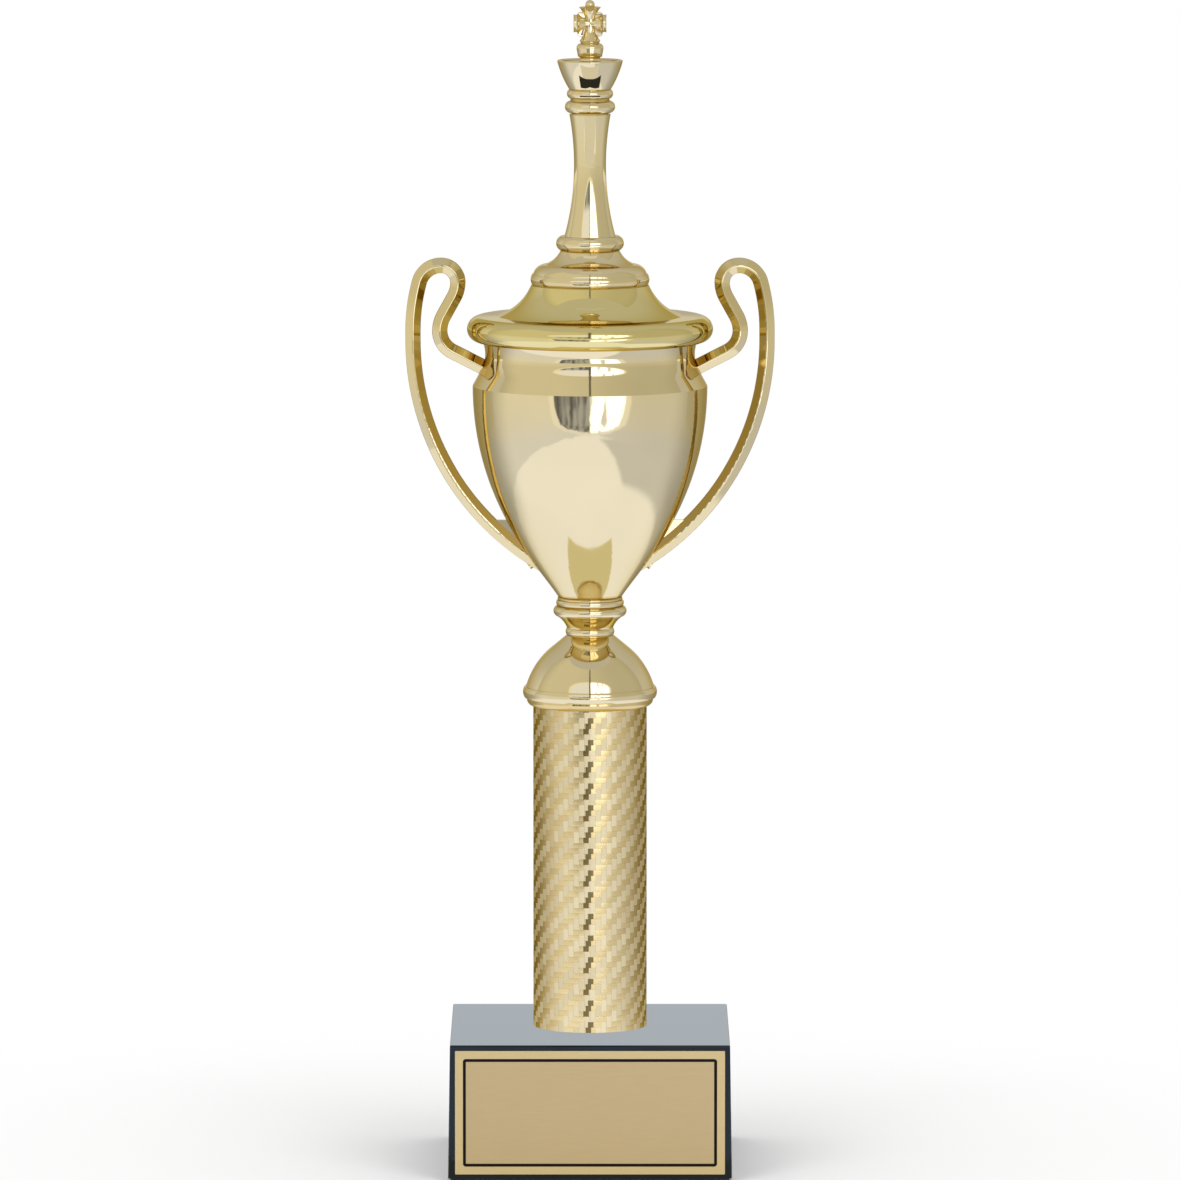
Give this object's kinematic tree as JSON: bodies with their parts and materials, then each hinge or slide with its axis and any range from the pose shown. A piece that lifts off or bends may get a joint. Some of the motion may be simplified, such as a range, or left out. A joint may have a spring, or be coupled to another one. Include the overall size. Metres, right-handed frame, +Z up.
{
  "type": "lidded cup trophy",
  "caption": "Gold lidded two-handled cup on a domed riser, round column and square gloss-black base with a blank nameplate; a chess king stands on the lift-off lid",
  "frame": {"origin": "on the surface the trophy stands on, under its vertical axis", "axes": "+Z up along the tie rod, front with the nameplate towards -Y, handles along X"},
  "size_m": [0.1644, 0.1268, 0.5205],
  "materials": {
    "gold_plating": "vacuum-metallised pale gold, mirror bright",
    "gold_lid": "vacuum-metallised pale gold, a little greener",
    "gold_figure": "vacuum-metallised pale gold, mirror bright",
    "gold_handles": "vacuum-metallised pale gold, mirror bright",
    "gold_ring": "metallised, slightly warmer gold",
    "column_film": "gold foil film with a fine woven-look pattern",
    "column_plastic": "plain extruded and moulded plastic",
    "base_gloss": "polished black",
    "base_fill": "cast plaster weight",
    "base_board": "brown hardboard",
    "under_felt": "black felt",
    "plate_gold": "satin pale gold with a black border line",
    "tape_foam": "double-sided tape",
    "zinc_steel": "zinc plated"
  },
  "bodies": {
    "cup": {"base_felt": "under_felt", "base_shell": "base_gloss", "base_weight": "base_fill", "base_cover": "base_board", "nameplate": "plate_gold", "nameplate_tape": "tape_foam", "column_plug": "column_plastic", "column_tube": "column_plastic", "column_foil": "column_film", "column_cap": "gold_ring", "riser_dome": "gold_plating", "cup_stem": "gold_plating", "cup_bowl": "gold_plating", "handle_left": "gold_handles", "handle_right": "gold_handles", "tie_rod": "zinc_steel", "rod_nuts": "zinc_steel", "rod_washers": "zinc_steel", "lock_washers": "zinc_steel"},
    "lid": {"lid": "gold_lid", "lid_skirt": "gold_lid", "figure_plinth": "gold_figure", "king_shaft": "gold_figure", "king_crown": "gold_figure", "king_finial": "gold_figure", "figure_stud": "zinc_steel", "figure_washer": "zinc_steel", "figure_nut": "zinc_steel"}
  },
  "joints": [
    {"name": "lid_lift", "type": "slide", "parent": "cup", "child": "lid", "axis": [0, 0, 1], "range_m": [0, 0.06]}
  ]
}
